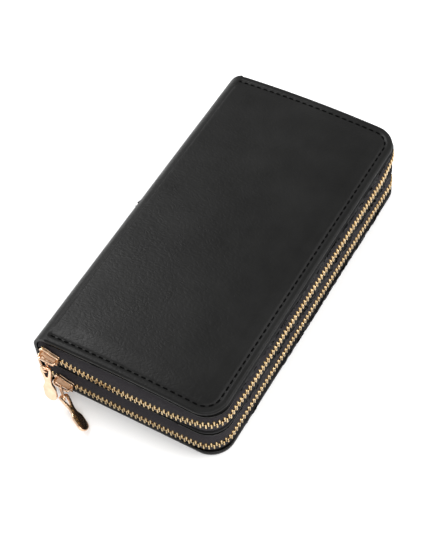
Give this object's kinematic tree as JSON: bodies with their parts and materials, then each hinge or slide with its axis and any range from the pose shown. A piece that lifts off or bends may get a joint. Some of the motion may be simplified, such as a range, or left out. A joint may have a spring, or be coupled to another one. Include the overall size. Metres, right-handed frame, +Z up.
{
  "type": "zip around wallet",
  "caption": "Long leather wallet with two stacked compartments, each closed round three sides by a metal zip with a bone-shaped puller.",
  "frame": {"origin": "Middle of the wallet's base rectangle, on the face that it rests on.", "axes": "+X from the spine to the opening side, +Y along the spine away from the sliders' end, +Z up."},
  "size_m": [0.1049, 0.2146, 0.0407],
  "materials": {
    "outer_leather": "smooth black leather with a faint crease grain, satin",
    "lining_leather": "matt black lining leather",
    "stiffener_board": "grey-brown fibre board",
    "zip_tape": "dark grey herringbone woven tape",
    "zip_teeth": "pale polished brass teeth",
    "zip_fittings": "polished rose-gold plated sliders and pullers"
  },
  "bodies": {
    "base": {"bottom_cover_leather": "outer_leather", "bottom_cover_board": "stiffener_board", "bottom_cover_lining": "lining_leather", "spine_bottom": "outer_leather", "lower_card_panel_1": "lining_leather", "lower_card_panel_2": "lining_leather", "lower_card_panel_3": "lining_leather", "lower_zip_lower_tape": "zip_tape", "lower_zip_lower_teeth": "zip_teeth", "lower_zip_lower_stop": "zip_teeth"},
    "divider": {"divider_board": "stiffener_board", "divider_lower_lining": "lining_leather", "divider_upper_lining": "lining_leather", "note_pocket_panel": "lining_leather", "spine_middle": "outer_leather", "coin_pocket_back": "lining_leather", "coin_pocket_front": "lining_leather", "coin_zip_tape": "zip_tape", "coin_zip_teeth": "zip_teeth", "lower_zip_upper_tape": "zip_tape", "lower_zip_upper_teeth": "zip_teeth", "lower_zip_upper_stop": "zip_teeth", "upper_zip_lower_tape": "zip_tape", "upper_zip_lower_teeth": "zip_teeth", "upper_zip_lower_stop": "zip_teeth"},
    "lid": {"top_cover_leather": "outer_leather", "top_cover_board": "stiffener_board", "top_cover_lining": "lining_leather", "spine_top": "outer_leather", "upper_card_panel_1": "lining_leather", "upper_card_panel_2": "lining_leather", "upper_card_panel_3": "lining_leather", "upper_zip_upper_tape": "zip_tape", "upper_zip_upper_teeth": "zip_teeth", "upper_zip_upper_stop": "zip_teeth"},
    "lower_slider": {"lower_zip_slider": "zip_fittings"},
    "lower_link": {"lower_puller_link": "zip_fittings"},
    "lower_puller": {"lower_puller": "zip_fittings"},
    "upper_slider": {"upper_zip_slider": "zip_fittings"},
    "upper_link": {"upper_puller_link": "zip_fittings"},
    "upper_puller": {"upper_puller": "zip_fittings"},
    "coin_slider": {"coin_zip_slider": "zip_fittings"},
    "coin_puller": {"coin_zip_puller": "zip_fittings"}
  },
  "joints": [
    {"name": "lower_opening", "type": "hinge", "parent": "base", "child": "divider", "pos_m": [-0.05175, 0, 0.0102], "axis": [0, -1, 0], "range_deg": [0, 90]},
    {"name": "upper_opening", "type": "hinge", "parent": "divider", "child": "lid", "pos_m": [-0.05175, 0, 0.0308], "axis": [0, -1, 0], "range_deg": [0, 90]},
    {"name": "lower_slider_travel", "type": "slide", "parent": "base", "child": "lower_slider", "axis": [1, 0, 0], "range_m": [0, 0.07]},
    {"name": "lower_link_swing", "type": "hinge", "parent": "lower_slider", "child": "lower_link", "pos_m": [-0.0366, -0.1028, 0.0102], "axis": [-1, 0, 0], "range_deg": [0, 20]},
    {"name": "lower_puller_swing", "type": "hinge", "parent": "lower_link", "child": "lower_puller", "pos_m": [-0.03311, -0.10571, 0.00855], "axis": [-0.129, -0.7826, 0.6091], "range_deg": [0, 50]},
    {"name": "upper_slider_travel", "type": "slide", "parent": "divider", "child": "upper_slider", "axis": [1, 0, 0], "range_m": [0, 0.075]},
    {"name": "upper_link_swing", "type": "hinge", "parent": "upper_slider", "child": "upper_link", "pos_m": [-0.0437, -0.1028, 0.0308], "axis": [-1, 0, 0], "range_deg": [0, 90]},
    {"name": "upper_puller_swing", "type": "hinge", "parent": "upper_link", "child": "upper_puller", "pos_m": [-0.041, -0.10448, 0.02717], "axis": [-1, 0, 0], "range_deg": [0, 80]},
    {"name": "coin_slider_travel", "type": "slide", "parent": "divider", "child": "coin_slider", "axis": [0, 1, 0], "range_m": [0, 0.135]},
    {"name": "coin_puller_lift", "type": "hinge", "parent": "coin_slider", "child": "coin_puller", "pos_m": [0.02, -0.073, 0.0264], "axis": [1, 0, 0], "range_deg": [0, 30]}
  ]
}
